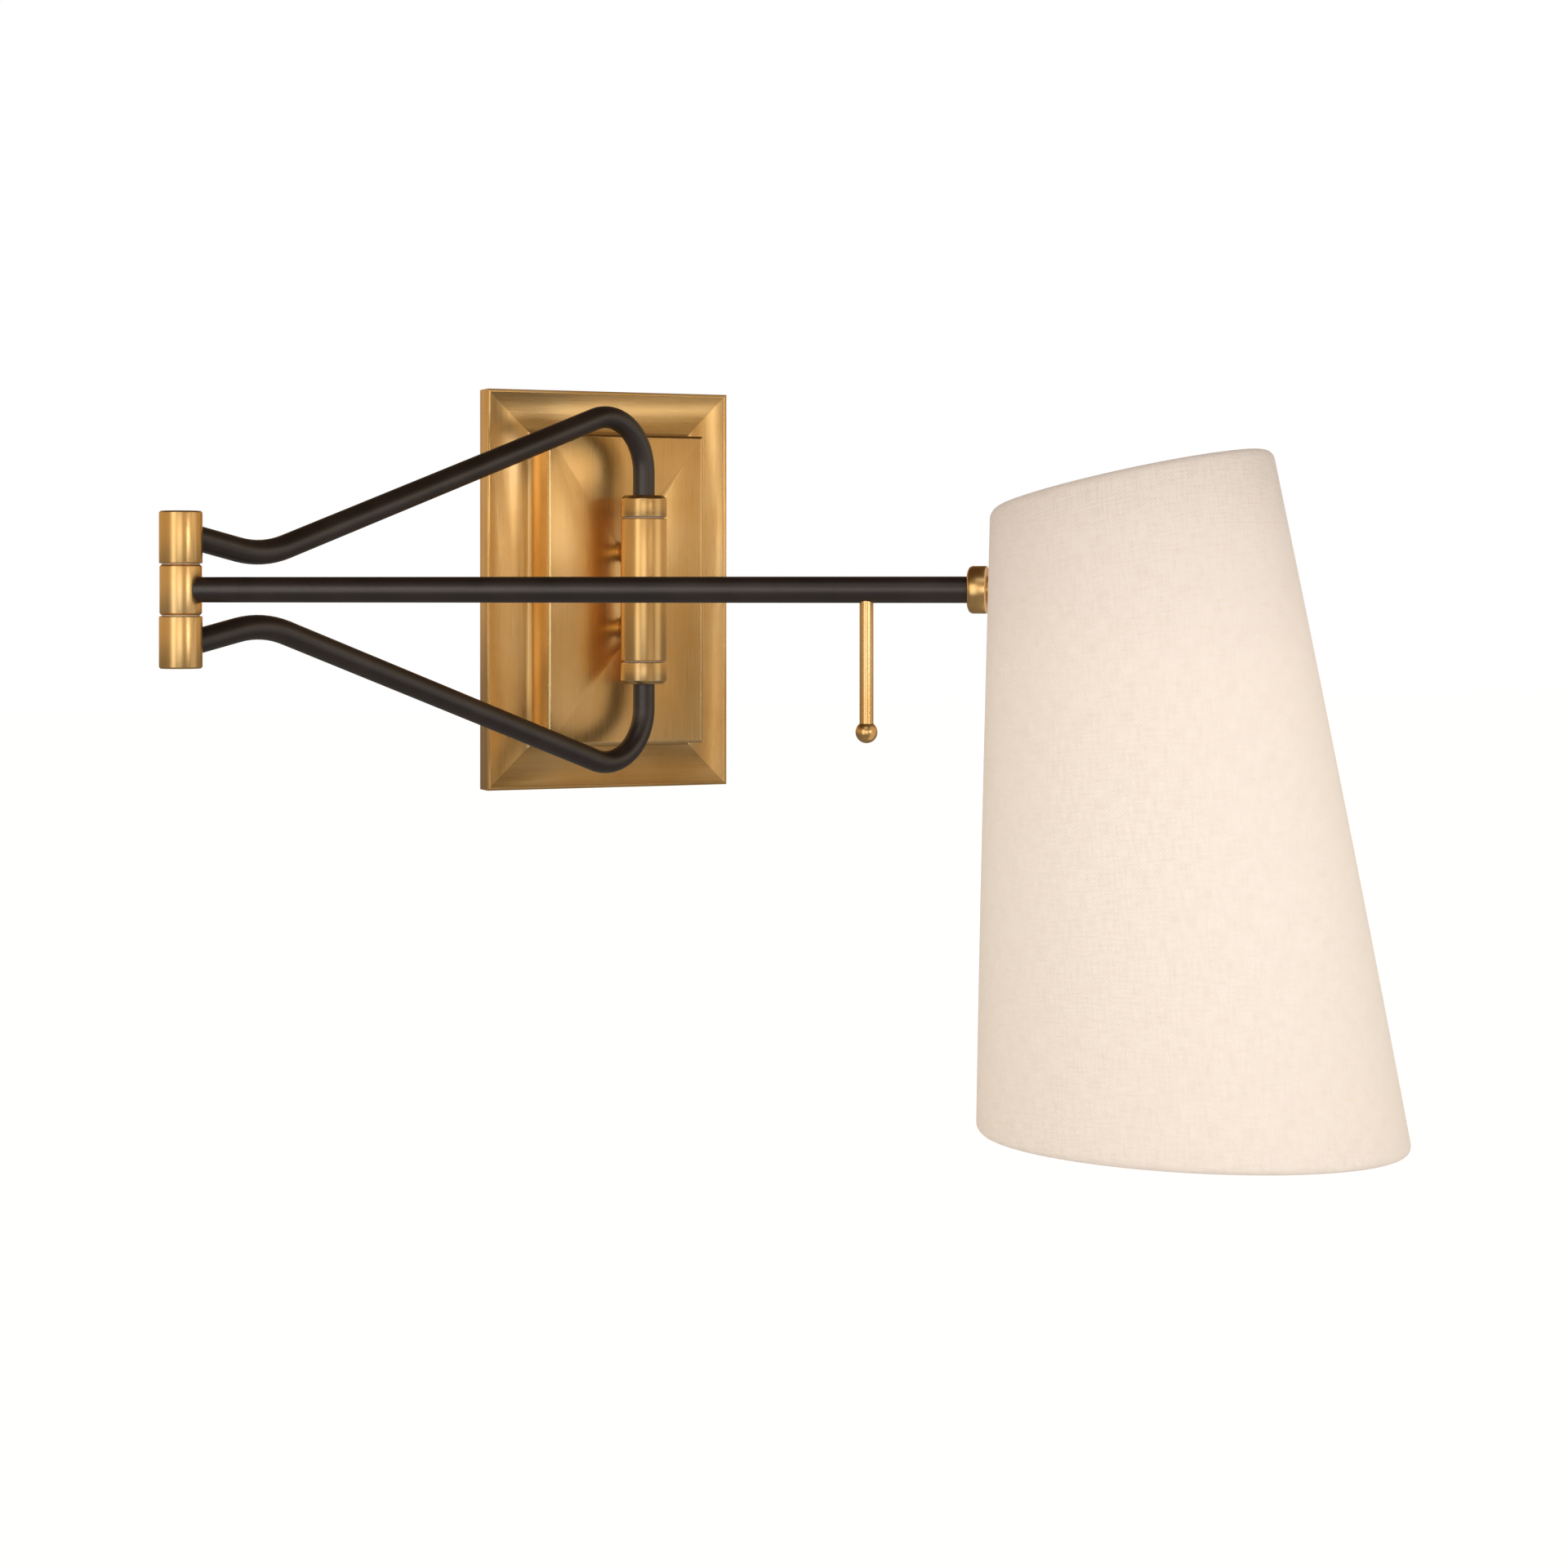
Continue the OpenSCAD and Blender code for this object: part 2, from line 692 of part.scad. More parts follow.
mounting_strap();
ground_screw();
wall_plate();
raised_panel();
set_screws();
wall_posts();
post_washers();
post_nuts();
pivot_barrel();
barrel_bushes();
splice_connector();
supply_cable();
upper_collar();
lower_collar();
pivot_pins();
pivot_clips();
upper_tube();
lower_tube();
upper_knuckle();
lower_knuckle();
elbow_pin();
wishbone_cable();
middle_knuckle();
elbow_bushes();
arm_tube();
arm_cable();
handle_rod();
handle_ball();
ferrule();
swivel_stem();
shade_eyelet();
hanger_block();
hanger_nut();
fitter_spider();
lamp_cable();
socket_cap();
socket_shell();
socket_liner();
socket_base();
screw_shell();
centre_contact();
bulb_base();
bulb_glass();
top_ring();
bottom_ring();
shade_linen();
shade_liner();
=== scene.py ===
import json
import math

import bmesh
import bpy
from mathutils import Matrix, Vector

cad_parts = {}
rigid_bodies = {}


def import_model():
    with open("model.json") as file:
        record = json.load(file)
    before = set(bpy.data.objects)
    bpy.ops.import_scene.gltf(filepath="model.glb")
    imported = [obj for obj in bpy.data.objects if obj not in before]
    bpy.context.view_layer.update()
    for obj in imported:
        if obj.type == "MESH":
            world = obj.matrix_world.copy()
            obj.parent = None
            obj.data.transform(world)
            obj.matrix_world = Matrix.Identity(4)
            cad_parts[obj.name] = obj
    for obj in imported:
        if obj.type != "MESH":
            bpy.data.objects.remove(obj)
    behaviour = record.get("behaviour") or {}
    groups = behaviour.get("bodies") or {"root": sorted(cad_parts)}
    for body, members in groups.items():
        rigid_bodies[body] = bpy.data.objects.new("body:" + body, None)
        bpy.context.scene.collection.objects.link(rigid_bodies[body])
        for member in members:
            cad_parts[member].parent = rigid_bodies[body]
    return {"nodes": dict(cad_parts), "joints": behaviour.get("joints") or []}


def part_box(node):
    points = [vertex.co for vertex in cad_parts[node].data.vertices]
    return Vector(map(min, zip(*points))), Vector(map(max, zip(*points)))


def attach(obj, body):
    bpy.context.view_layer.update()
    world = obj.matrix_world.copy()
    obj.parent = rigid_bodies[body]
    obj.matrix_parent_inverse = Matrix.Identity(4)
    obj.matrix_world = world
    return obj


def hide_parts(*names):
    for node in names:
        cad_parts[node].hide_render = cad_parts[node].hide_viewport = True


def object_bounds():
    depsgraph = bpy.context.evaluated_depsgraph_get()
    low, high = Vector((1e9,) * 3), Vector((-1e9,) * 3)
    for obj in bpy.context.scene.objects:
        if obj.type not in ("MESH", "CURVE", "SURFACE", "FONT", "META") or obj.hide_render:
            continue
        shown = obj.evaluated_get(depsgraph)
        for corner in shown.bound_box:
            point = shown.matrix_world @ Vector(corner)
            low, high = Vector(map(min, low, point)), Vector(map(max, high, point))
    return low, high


for leftOver in list(bpy.data.objects):
    bpy.data.objects.remove(leftOver, do_unlink=True)

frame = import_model()
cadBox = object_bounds()
mm = 0.001
print("frame loaded:", len(frame["nodes"]), "nodes")


def newMaterial(name, metallic=0.0, roughness=0.5):
    mat = bpy.data.materials.new(name)
    mat.use_nodes = True
    shader = mat.node_tree.nodes["Principled BSDF"]
    shader.inputs["Metallic"].default_value = metallic
    shader.inputs["Roughness"].default_value = roughness
    return mat, mat.node_tree.nodes, mat.node_tree.links, shader


def objectNoise(nodes, links, stretch, detail=3.0, turn=(0, 0, 0), coords="Object"):
    where = nodes.new("ShaderNodeTexCoord")
    spread = nodes.new("ShaderNodeMapping")
    spread.inputs["Rotation"].default_value = turn
    spread.inputs["Scale"].default_value = stretch
    noise = nodes.new("ShaderNodeTexNoise")
    noise.inputs["Scale"].default_value = 1
    noise.inputs["Detail"].default_value = detail
    links.new(where.outputs[coords], spread.inputs[0])
    links.new(spread.outputs[0], noise.inputs["Vector"])
    return noise.outputs["Fac"]


def ramp(nodes, links, source, stops):
    node = nodes.new("ShaderNodeValToRGB")
    bar = node.color_ramp
    bar.elements[0].position, bar.elements[0].color = stops[0][0], (*stops[0][1], 1)
    bar.elements[1].position, bar.elements[1].color = stops[-1][0], (*stops[-1][1], 1)
    for place, colour in stops[1:-1]:
        bar.elements.new(place).color = (*colour, 1)
    links.new(source, node.inputs[0])
    return node.outputs[0]


def mixIn(nodes, links, first, second, amount, blend="MIX"):
    node = nodes.new("ShaderNodeMix")
    node.data_type = "RGBA"
    node.blend_type = blend
    links.new(first, node.inputs[6])
    links.new(second, node.inputs[7])
    if isinstance(amount, float):
        node.inputs[0].default_value = amount
    else:
        links.new(amount, node.inputs[0])
    return node.outputs[2]


def mapRange(nodes, links, source, low, high, newLow, newHigh):
    node = nodes.new("ShaderNodeMapRange")
    node.inputs["From Min"].default_value = low
    node.inputs["From Max"].default_value = high
    node.inputs["To Min"].default_value = newLow
    node.inputs["To Max"].default_value = newHigh
    links.new(source, node.inputs["Value"])
    return node.outputs[0]


def bump(nodes, links, shader, height, strength, distance):
    node = nodes.new("ShaderNodeBump")
    node.inputs["Strength"].default_value = strength
    node.inputs["Distance"].default_value = distance
    links.new(height, node.inputs["Height"])
    links.new(node.outputs[0], shader.inputs["Normal"])


view = {
    "place": (-0.4554, -1.2825, 0.0003),
    "turn": -23.14,              # degrees, towards +X
    "lens": 68.81,
    "shift": (-0.0031, -0.1244),  # the lamp hangs level with the lens, low in the picture
}

studio = {
    "backdrop": (1.0, 1.0, 1.0),
    "floorDrop": 1.5,            # how far below the lamp the floor lies, in metres
    "floorGlow": 0.12,           # how bright the floor is in the metal's reflections
    "below": (0.46, 0.31, 0.165),  # tones of the room that the metal reflects
    "level": (0.68, 0.495, 0.285),
    "above": (0.10, 0.06, 0.03),
    "heights": (0.25, 0.46, 0.60, 0.80),  # where those three tones stand, floor to ceiling
    "rightSide": 0.92,           # brightness of the room's right side against its left
    "floorHalf": 40,
    "floorWhite": 0.95,          # how bright the floor looks to the camera
}

coolWhite = (0.93, 0.97, 1.0)
lights = {                       # place, aimed at, size in metres, watts, tint
    "keyLeft": ((-1.75, -1.45, 0.10), (0, -0.15, 0), (0.8, 1.7), 6.4, (1, 1, 1)),
    "overhead": ((-0.7, -1.5, 1.5), (0, -0.2, -0.1), (1.2, 0.8), 2.5, (1, 1, 1)),
    "front": ((-0.95, -2.5, 0.05), (0, -0.1, 0), (1.1, 1.0), 5.5, coolWhite),
    "sideRight": ((1.6, -1.2, -0.15), (0.05, -0.3, -0.05), (1.1, 1.7), 3.4, (0.94, 0.97, 1.0)),
    "panelGlow": ((0.20, -0.95, 0.03), (-0.04, -0.03, 0.01), (0.18, 0.20), 0.60, (1, 1, 1)),
}


def makeCamera():
    cam = bpy.data.objects.new("camera", bpy.data.cameras.new("camera"))
    bpy.context.scene.collection.objects.link(cam)
    cam.location = view["place"]
    cam.rotation_euler = (math.radians(90), 0, math.radians(view["turn"]))
    cam.data.lens = view["lens"]
    cam.data.sensor_width = 36
    cam.data.shift_x, cam.data.shift_y = view["shift"]
    cam.data.clip_start = 0.01
    bpy.context.scene.camera = cam


def softBox(name, place, target, size, power, tint):
    light = bpy.data.objects.new(name, bpy.data.lights.new(name, "AREA"))
    bpy.context.scene.collection.objects.link(light)
    light.data.shape = "RECTANGLE"
    light.data.size, light.data.size_y = size
    light.data.energy = power
    light.data.color = tint
    light.location = place
    aim = Vector(target) - Vector(place)
    light.rotation_euler = aim.to_track_quat("-Z", "Y").to_euler()
    light.visible_camera = False


def makeRoom():
    # white to the camera, and to the metal a warm room with a dark ceiling
    world = bpy.data.worlds.new("room")
    bpy.context.scene.world = world
    world.use_nodes = True
    nodes, links = world.node_tree.nodes, world.node_tree.links
    nodes.clear()
    out = nodes.new("ShaderNodeOutputWorld")
    choose = nodes.new("ShaderNodeMixShader")
    seen = nodes.new("ShaderNodeBackground")
    seen.inputs["Color"].default_value = (*studio["backdrop"], 1)
    glow = nodes.new("ShaderNodeBackground")
    coords = nodes.new("ShaderNodeTexCoord")
    split = nodes.new("ShaderNodeSeparateXYZ")
    rays = nodes.new("ShaderNodeLightPath")
    links.new(coords.outputs["Generated"], split.inputs[0])
    height = mapRange(nodes, links, split.outputs["Z"], -1, 1, 0, 1)
    tones = (studio["below"], studio["level"], studio["level"], studio["above"])
    tone = ramp(nodes, links, height, list(zip(studio["heights"], tones)))
    side = mapRange(nodes, links, split.outputs["X"], -0.7, 0.7, 1, studio["rightSide"])
    links.new(tone, glow.inputs["Color"])
    links.new(side, glow.inputs["Strength"])
    links.new(rays.outputs["Is Camera Ray"], choose.inputs[0])
    links.new(glow.outputs[0], choose.inputs[1])
    links.new(seen.outputs[0], choose.inputs[2])
    links.new(choose.outputs[0], out.inputs[0])


def makeFloor():
    bm = bmesh.new()
    bmesh.ops.create_grid(bm, x_segments=1, y_segments=1, size=studio["floorHalf"])
    bmesh.ops.translate(bm, verts=bm.verts, vec=(0, 0, cadBox[0].z - studio["floorDrop"]))
    mesh = bpy.data.meshes.new("floor")
    bm.to_mesh(mesh)
    bm.free()
    floor = bpy.data.objects.new("floor", mesh)
    bpy.context.scene.collection.objects.link(floor)
    mat, nodes, links, shader = newMaterial("palePaint", roughness=0.9)
    shader.inputs["Base Color"].default_value = (0.5, 0.5, 0.5, 1)
    shader.inputs["Emission Color"].default_value = (1, 1, 1, 1)
    rays = nodes.new("ShaderNodeLightPath")
    seen = rays.outputs["Is Camera Ray"]
    glow = mapRange(nodes, links, seen, 0, 1, studio["floorGlow"], studio["floorWhite"])
    links.new(glow, shader.inputs["Emission Strength"])
    mesh.materials.append(mat)


bpy.context.scene.view_settings.view_transform = "Standard"
makeCamera()
makeRoom()
makeFloor()
for name, settings in lights.items():
    softBox(name, *settings)
print("stage set")


brass = {
    "deep": (0.70, 0.43, 0.155),
    "gold": (0.81, 0.545, 0.235),
    "pale": (0.88, 0.66, 0.36),
    "roughness": (0.27, 0.33),
    "grain": 3000,      # brush lines per metre, across the brushing
    "along": 40,        # and along it
    "patina": 22,       # size of the rubbed patches
    "streaks": 0.12,    # share of broad brush streaks in the colour
    "hair": (0.91, 0.885, 0.86),  # tone of the fine brush lines
}


def brushedBrass(name, grain=(1, 1, 0), turn=(0, 0, 0), depth=0.035, tone=1.0):
    # grain says across which axes the brush lines are fine; tone darkens the whole metal as a
    # painted shade
    mat, nodes, links, shader = newMaterial(name, metallic=1.0)
    fine = [brass["grain"] if across else brass["along"] for across in grain]
    lines = objectNoise(nodes, links, fine, 2.0, turn)
    coarse = objectNoise(nodes, links, [value / 6 for value in fine], 3.0, turn)
    cloud = objectNoise(nodes, links, (brass["patina"],) * 3, 5.0)
    stops = [(0.28, brass["deep"]), (0.52, brass["gold"]), (0.78, brass["pale"])]
    patina, streaks = ramp(nodes, links, cloud, stops), ramp(nodes, links, coarse, stops)
    colour = mixIn(nodes, links, patina, streaks, brass["streaks"])
    dark = tuple(value * tone for value in brass["hair"])
    hair = ramp(nodes, links, lines, [(0.3, dark), (0.7, (tone, tone, tone))])
    colour = mixIn(nodes, links, colour, hair, 1.0, "MULTIPLY")
    links.new(colour, shader.inputs["Base Color"])
    rough = mapRange(nodes, links, lines, 0.3, 0.7, *brass["roughness"])
    links.new(rough, shader.inputs["Roughness"])
    bump(nodes, links, shader, lines, depth, 0.0001)
    return mat


bronze = {
    "dark": (0.013, 0.008, 0.008),
    "light": (0.030, 0.019, 0.020),
    "roughness": (0.34, 0.44),
}


def darkBronze():
    mat, nodes, links, shader = newMaterial("darkBronze", metallic=0.2)
    shader.inputs["Specular IOR Level"].default_value = 1.0
    cloud = objectNoise(nodes, links, (60, 60, 60), 4.0)
    specks = objectNoise(nodes, links, (1800, 1800, 1800), 2.0)
    tone = ramp(nodes, links, cloud, [(0.35, bronze["dark"]), (0.7, bronze["light"])])
    links.new(tone, shader.inputs["Base Color"])
    rough = mapRange(nodes, links, specks, 0.3, 0.7, *bronze["roughness"])
    links.new(rough, shader.inputs["Roughness"])
    bump(nodes, links, shader, specks, 0.10, 0.0001)
    return mat


lamp = {
    "hotSpot": (0.0796, -0.3673, -0.105),  # where the shade glows most, in metres
    "spread": (0.4, 0.4, 1.0),             # the glow fades more slowly around than along
    "reach": (0.02, 0.17),                 # where it starts to fade and where it ends
    "glass": 1.8,                          # strengths of the lit glass and of the lining's painted glow
    "lining": 0.2,
}

cloth = {
    "thread": 0.00070,                     # spacing of the linen's threads, in metres
    "pale": (0.80, 0.765, 0.73),
    "darkSlub": (0.66, 0.615, 0.575),
    "relief": (0.86, 0.85, 0.83),          # tone between the threads
    "glow": 1.19,
    "glowStops": [
        (0.0, (0.48, 0.44, 0.395)), (0.4, (0.465, 0.415, 0.37)),
        (0.7, (0.37, 0.33, 0.31)), (1.0, (0.175, 0.16, 0.155))],
}


def weave(nodes, links):
    # over and under threads along the sheet's own length and height
    where = nodes.new("ShaderNodeUVMap")
    where.uv_map = "cloth"
    split = nodes.new("ShaderNodeSeparateXYZ")
    links.new(where.outputs[0], split.inputs[0])
    waves = []
    for axis in ("X", "Y"):
        scaled = nodes.new("ShaderNodeMath")
        scaled.operation = "MULTIPLY"
        scaled.inputs[1].default_value = math.pi / cloth["thread"]
        links.new(split.outputs[axis], scaled.inputs[0])
        wave = nodes.new("ShaderNodeMath")
        wave.operation = "SINE"
        links.new(scaled.outputs[0], wave.inputs[0])
        waves.append(wave.outputs[0])
    cross = nodes.new("ShaderNodeMath")
    cross.operation = "MULTIPLY"
    links.new(waves[0], cross.inputs[0])
    links.new(waves[1], cross.inputs[1])
    return mapRange(nodes, links, cross.outputs[0], -1, 1, 0, 1)


def clothGlow(nodes, links, stops):
    # painted glow: warm light through the cloth, painted as emission, strongest beside the bulb
    where = nodes.new("ShaderNodeTexCoord")
    centre = nodes.new("ShaderNodeMapping")
    centre.vector_type = "POINT"
    centre.inputs["Location"].default_value = [
        -value * share for value, share in zip(lamp["hotSpot"], lamp["spread"])]
    centre.inputs["Scale"].default_value = lamp["spread"]
    length = nodes.new("ShaderNodeVectorMath")
    length.operation = "LENGTH"
    links.new(where.outputs["Object"], centre.inputs[0])
    links.new(centre.outputs[0], length.inputs[0])
    away = mapRange(nodes, links, length.outputs["Value"], *lamp["reach"], 0, 1)
    return ramp(nodes, links, away, stops)


def linenCloth():
    mat, nodes, links, shader = newMaterial("linenCloth", roughness=0.85)
    shader.inputs["Sheen Weight"].default_value = 0.25
    shader.inputs["Specular IOR Level"].default_value = 0.2
    threads = weave(nodes, links)
    slubAround = objectNoise(nodes, links, (150, 1250, 1), 3.0, coords="UV")
    slubUp = objectNoise(nodes, links, (1250, 130, 1), 3.0, coords="UV")
    tone = ramp(nodes, links, slubAround, [(0.3, cloth["darkSlub"]), (0.6, cloth["pale"])])
    other = ramp(nodes, links, slubUp, [(0.3, cloth["darkSlub"]), (0.6, cloth["pale"])])
    colour = mixIn(nodes, links, tone, other, 0.5)
    relief = ramp(nodes, links, threads, [(0.1, cloth["relief"]), (0.8, (1, 1, 1))])
    colour = mixIn(nodes, links, colour, relief, 0.6, "MULTIPLY")
    links.new(colour, shader.inputs["Base Color"])
    # the painted glow of the bulb through the linen
    glow = clothGlow(nodes, links, cloth["glowStops"])
    glow = mixIn(nodes, links, glow, relief, 0.6, "MULTIPLY")
    glow = mixIn(nodes, links, glow, colour, 0.6, "MULTIPLY")
    links.new(glow, shader.inputs["Emission Color"])
    shader.inputs["Emission Strength"].default_value = cloth["glow"]
    bump(nodes, links, shader, threads, 0.35, 0.0002)
    return mat


def shadeLining():
    mat, nodes, links, shader = newMaterial("shadeLining", roughness=0.55)
    grain = objectNoise(nodes, links, (420, 420, 420), 3.0)
    tone = ramp(nodes, links, grain, [(0.3, (0.66, 0.60, 0.51)), (0.7, (0.75, 0.70, 0.61))])
    links.new(tone, shader.inputs["Base Color"])
    # painted glow: the bulb's light on the lining, painted as emission
    glow = clothGlow(nodes, links, [
        (0.0, (1.0, 0.80, 0.50)), (0.4, (0.9, 0.66, 0.38)), (1.0, (0.35, 0.26, 0.17))])
    links.new(glow, shader.inputs["Emission Color"])
    shader.inputs["Emission Strength"].default_value = lamp["lining"]
    bump(nodes, links, shader, grain, 0.1, 0.0002)
    return mat


def litGlass():
    mat, nodes, links, shader = newMaterial("litGlass", roughness=0.35)
    cloud = objectNoise(nodes, links, (55, 55, 55), 2.0)
    tone = ramp(nodes, links, cloud, [(0.3, (1.0, 0.80, 0.52)), (0.7, (1.0, 0.87, 0.64))])
    links.new(tone, shader.inputs["Base Color"])
    links.new(tone, shader.inputs["Emission Color"])
    shader.inputs["Emission Strength"].default_value = lamp["glass"]
    return mat


def speckled(name, low, high, size, metallic, roughLow, roughHigh, depth=0.0001):
    # a quiet finish: two near tones in small patches, with matching roughness
    mat, nodes, links, shader = newMaterial(name, metallic=metallic)
    cloud = objectNoise(nodes, links, (size,) * 3, 4.0)
    links.new(ramp(nodes, links, cloud, [(0.35, low), (0.65, high)]), shader.inputs["Base Color"])
    rough = mapRange(nodes, links, cloud, 0.3, 0.7, roughLow, roughHigh)
    links.new(rough, shader.inputs["Roughness"])
    bump(nodes, links, shader, cloud, 0.15, depth)
    return mat


armTurn = (0, 0, math.radians(33))       # brings the straight arm's axis onto X
materials = {
    "brassUpright": brushedBrass("brassUpright"),
    # horizontal brushing, darkened as a painted shade for the plate's top and bottom borders
    "brassLevelPaintedShade": brushedBrass("brassLevelPaintedShade", (0, 1, 1), tone=0.68),
    "brassTurned": brushedBrass("brassTurned", (0, 0, 1)),
    # turned brushing, darkened as a painted shade that dims the collars' highlight
    "brassCollar": brushedBrass("brassCollar", (0, 0, 1), tone=0.82),
    "brassFerrule": brushedBrass("brassFerrule", (1, 0, 0), armTurn, 0.04),
    # paler, smoother brass on the eased edges: rubbed edges, and in part a painted highlight
    "brassEdge": speckled(
        "brassEdge", (0.84, 0.60, 0.29), (0.93, 0.74, 0.44), 400, 1.0, 0.20, 0.28),
    "bronze": darkBronze(),
    "zinc": speckled("zincPlate", (0.42, 0.42, 0.41), (0.62, 0.62, 0.60), 180, 1.0, 0.30, 0.45),
    "green": speckled("greenDye", (0.03, 0.18, 0.06), (0.07, 0.32, 0.12), 300, 0.8, 0.3, 0.4),
    "nylon": speckled(
        "naturalNylon", (0.70, 0.67, 0.60), (0.80, 0.78, 0.71), 240, 0.0, 0.40, 0.55),
    "sheath": speckled("cableSheath", (0.62, 0.56, 0.46), (0.76, 0.71, 0.62), 500, 0.0, 0.45, 0.6),
    "fibre": speckled(
        "pressedFibre", (0.08, 0.055, 0.045), (0.17, 0.12, 0.10), 900, 0.0, 0.7, 0.9),
    "porcelain": speckled(
        "porcelain", (0.80, 0.78, 0.73), (0.88, 0.86, 0.81), 120, 0.0, 0.12, 0.2),
    "copper": speckled(
        "stampedBrass", (0.55, 0.36, 0.17), (0.76, 0.55, 0.30), 300, 1.0, 0.22, 0.35),
    "cap": speckled(
        "rolledAluminium", (0.55, 0.55, 0.55), (0.74, 0.74, 0.74), 260, 1.0, 0.25, 0.4),
    "linen": linenCloth(),
    "lining": shadeLining(),
    "glass": litGlass(),
}
print("materials:", len(materials))


def show(name, mesh, body, slot, *nodes):
    piece = bpy.data.objects.new(name, mesh)
    bpy.context.scene.collection.objects.link(piece)
    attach(piece, body)
    if nodes:
        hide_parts(*nodes)
    return piece


def paint(material, *nodes):
    for node in nodes:
        slots = frame["nodes"][node].data.materials
        for i in range(len(slots)):
            slots[i] = materials[material]


easing = {
    "flat": 0.4,      # faces closer than this, in degrees, are joined first
    "sharp": 25,      # corners beyond this are eased
    "crisp": 32,      # corners beyond this stay crisp in the shading
}

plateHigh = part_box("wall_plate")[1]
plateHalf = (plateHigh.x, plateHigh.z)


def mitreBorder(bm):
    # cuts the plate's flat border at its corners, so each side has its own brushing, and the top
    # and bottom sides take the darkened brass, a painted shade
    halfW, halfH = plateHalf
    for side, up in ((1, 1), (1, -1), (-1, 1), (-1, -1)):
        flat = [face for face in bm.faces if face.material_index == 0 and face.normal.y < -0.99]
        corners = list(dict.fromkeys(vert for face in flat for vert in face.verts))
        rims = list(dict.fromkeys(edge for face in flat for edge in face.edges))
        bmesh.ops.bisect_plane(
            bm, geom=corners + rims + flat, dist=1e-7,
            plane_co=(side * halfW, 0, up * halfH), plane_no=(1, 0, -side * up))
    for face in bm.faces:
        if face.material_index == 0:
            middle = face.calc_center_median()
            face.material_index = 2 * int(abs(middle.z) - halfH > abs(middle.x) - halfW)


def easeEdges(name, node, body, material, width):
    # a copy of a CAD piece with its sharp edges eased, as polishing leaves them
    bm = bmesh.new()
    bm.from_mesh(frame["nodes"][node].data)
    bmesh.ops.remove_doubles(bm, verts=bm.verts, dist=0.002 * mm)
    bmesh.ops.dissolve_limit(
        bm, angle_limit=math.radians(easing["flat"]), verts=bm.verts, edges=bm.edges)
    sharp = [
        edge for edge in bm.edges
        if edge.is_manifold and edge.calc_face_angle(0) > math.radians(easing["sharp"])]
    for face in bm.faces:
        face.material_index = 0
    eased = bmesh.ops.bevel(
        bm, geom=sharp, offset=width * mm, offset_type="OFFSET", segments=2, profile=0.5,
        affect="EDGES", clamp_overlap=True, material=1)["faces"]
    if node == "wall_plate":
        mitreBorder(bm)
    for face in bm.faces:
        face.smooth = True
    for face in eased:
        face.material_index = 1
    mesh = bpy.data.meshes.new(name)
    bm.to_mesh(mesh)
    bm.free()
    # slots: the piece's brass, the paler edge brass, and the level brass whose darkening is a
    # painted shade
    for finish in (material, "brassEdge", "brassLevelPaintedShade"):
        mesh.materials.append(materials[finish])
    mesh.set_sharp_from_angle(angle=math.radians(easing["crisp"]))
    return show(name, mesh, body, "brushed_brass", node)


easedPieces = {      # CAD node, body, finish, width of the eased edge in mm
    "wallPlate": ("wall_plate", "wall_mount", "brassUpright", 0.35),
    "raisedPanel": ("raised_panel", "wall_mount", "brassUpright", 0.25),
    "pivotBarrel": ("pivot_barrel", "wall_mount", "brassUpright", 0.15),
    "upperCollar": ("upper_collar", "wishbone", "brassCollar", 0.2),
    "lowerCollar": ("lower_collar", "wishbone", "brassCollar", 0.2),
    "upperKnuckle": ("upper_knuckle", "wishbone", "brassUpright", 0.15),
    "lowerKnuckle": ("lower_knuckle", "wishbone", "brassUpright", 0.15),
    "middleKnuckle": ("middle_knuckle", "arm", "brassUpright", 0.15),
    "ferruleRing": ("ferrule", "arm", "brassFerrule", 0.2),
}
for name, settings in easedPieces.items():
    easeEdges(name, *settings)

paint("brassTurned", "handle_rod", "handle_ball", "hanger_nut", "hanger_block")
paint("brassUpright", "wall_posts", "set_screws", "post_nuts")
paint("brassFerrule", "swivel_stem", "shade_eyelet")
paint("brassTurned", "fitter_spider", "socket_cap", "socket_shell")
paint("bronze", "upper_tube", "lower_tube", "arm_tube")
paint("zinc", "mounting_strap", "post_washers", "pivot_pins", "pivot_clips", "elbow_pin")
paint("zinc", "top_ring", "bottom_ring")
paint("green", "ground_screw")
paint("nylon", "barrel_bushes", "elbow_bushes", "splice_connector")
paint("sheath", "supply_cable", "wishbone_cable", "arm_cable", "lamp_cable")
paint("fibre", "socket_liner")
paint("porcelain", "socket_base")
paint("copper", "screw_shell", "centre_contact")
paint("cap", "bulb_base")
print("metal pieces finished")


joints = {joint["name"]: joint for joint in frame["joints"]}
elbow = Vector(joints["elbow_swing"]["pos_m"])
armWay = Vector(joints["shade_tilt"]["axis"]).normalized()
armSide = Vector((-armWay.y, armWay.x, 0))
headFrame = Matrix((
    (armWay.x, armSide.x, 0, elbow.x),
    (armWay.y, armSide.y, 0, elbow.y),
    (0, 0, 1, elbow.z),
    (0, 0, 0, 1),
))

